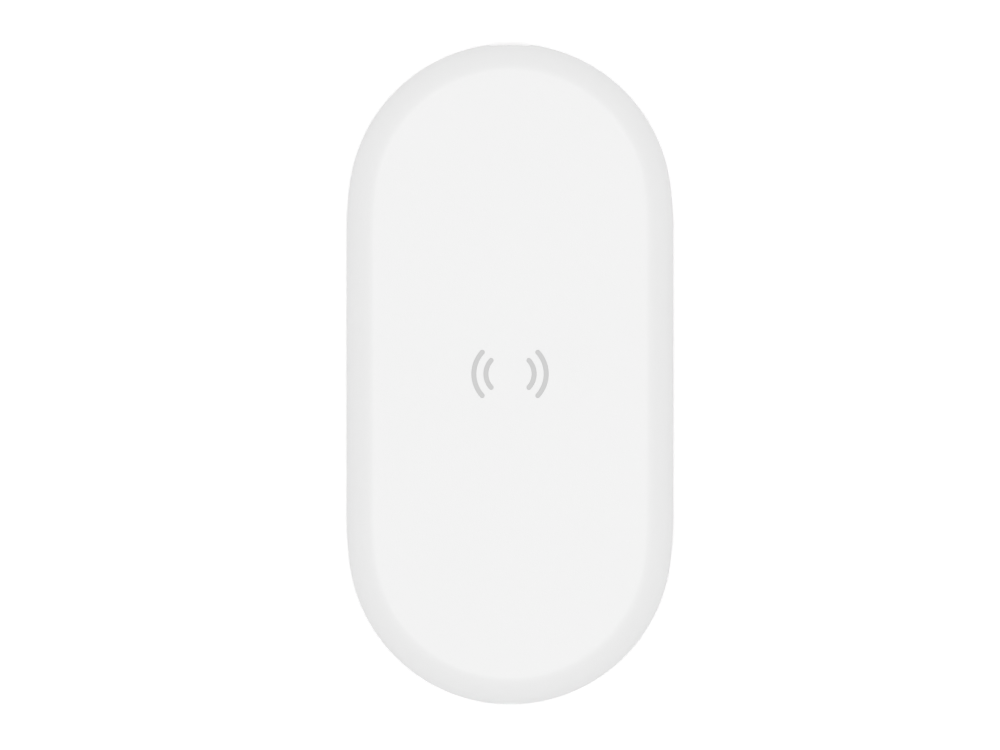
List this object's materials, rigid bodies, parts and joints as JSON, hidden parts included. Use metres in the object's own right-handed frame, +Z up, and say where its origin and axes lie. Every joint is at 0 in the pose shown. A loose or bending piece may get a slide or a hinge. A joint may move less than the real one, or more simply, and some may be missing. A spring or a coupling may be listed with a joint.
{
  "type": "wireless charging pad",
  "caption": "Long, flat, round-ended white pad that charges a phone laid on it, with a soft rolled edge, a printed charging mark and a cable socket in one end.",
  "frame": {"origin": "on the table, under the middle of the pad", "axes": "+Z up, +Y along the pad's length and out of the cable socket, X across it"},
  "size_m": [0.072, 0.1453, 0.01],
  "materials": {
    "cover_plastic": "fine spark-eroded texture",
    "mark_ink": "satin print",
    "guide_plastic": "milky, polished front face",
    "foot_silicone": "soft matt",
    "tape": "thin double-sided film",
    "screw_steel": "black zinc plate",
    "tray_plastic": "moulded",
    "ferrite": "sintered, fine grain",
    "litz_wire": "enamelled strands",
    "lead_sleeve": "extruded",
    "thin_lead": "extruded",
    "signal_lead": "extruded",
    "foam": "fine closed cells",
    "epoxy": "dipped",
    "ballast_steel": "zinc-plated sheet",
    "solder_mask": "solder mask over copper",
    "solder": "bright, soldered",
    "chip_epoxy": "moulded",
    "inductor_body": "pressed powder",
    "capacitor_body": "fired, tinned ends",
    "resistor_body": "glazed, tinned ends",
    "crystal_can": "bright lid",
    "socket_steel": "drawn and nickel-plated",
    "socket_core": "moulded",
    "contact_gold": "gold plate",
    "light_package": "white package, yellowish window"
  },
  "bodies": {
    "root": {"top_cover": "cover_plastic", "charge_mark": "mark_ink", "bottom_cover": "cover_plastic", "foot_ring": "foot_silicone", "foot_tape": "tape", "housing_screws": "screw_steel", "coil_tray": "tray_plastic", "tray_screws": "screw_steel", "ferrite_tape": "tape", "ferrite_plate": "ferrite", "coil_tape": "tape", "coil_front": "litz_wire", "coil_rear": "litz_wire", "coil_film": "tape", "coil_middle": "litz_wire", "coil_foam": "foam", "coil_leads": "lead_sleeve", "thermistor": "epoxy", "thermistor_leads": "thin_lead", "ballast_plate": "ballast_steel", "ballast_tape": "tape", "main_board": "solder_mask", "board_screws": "screw_steel", "solder_joints": "solder", "control_chip": "chip_epoxy", "protocol_chip": "chip_epoxy", "bridge_transistors": "chip_epoxy", "coil_switches": "chip_epoxy", "power_inductor": "inductor_body", "resonance_capacitors": "capacitor_body", "input_capacitors": "capacitor_body", "bypass_capacitors": "capacitor_body", "small_resistors": "resistor_body", "shunt_resistor": "resistor_body", "crystal": "crystal_can", "socket_shell": "socket_steel", "socket_tongue": "socket_core", "socket_contacts": "contact_gold", "light_guide": "guide_plastic", "light_board": "solder_mask", "status_light": "light_package", "light_wires": "signal_lead"}
  },
  "joints": []
}
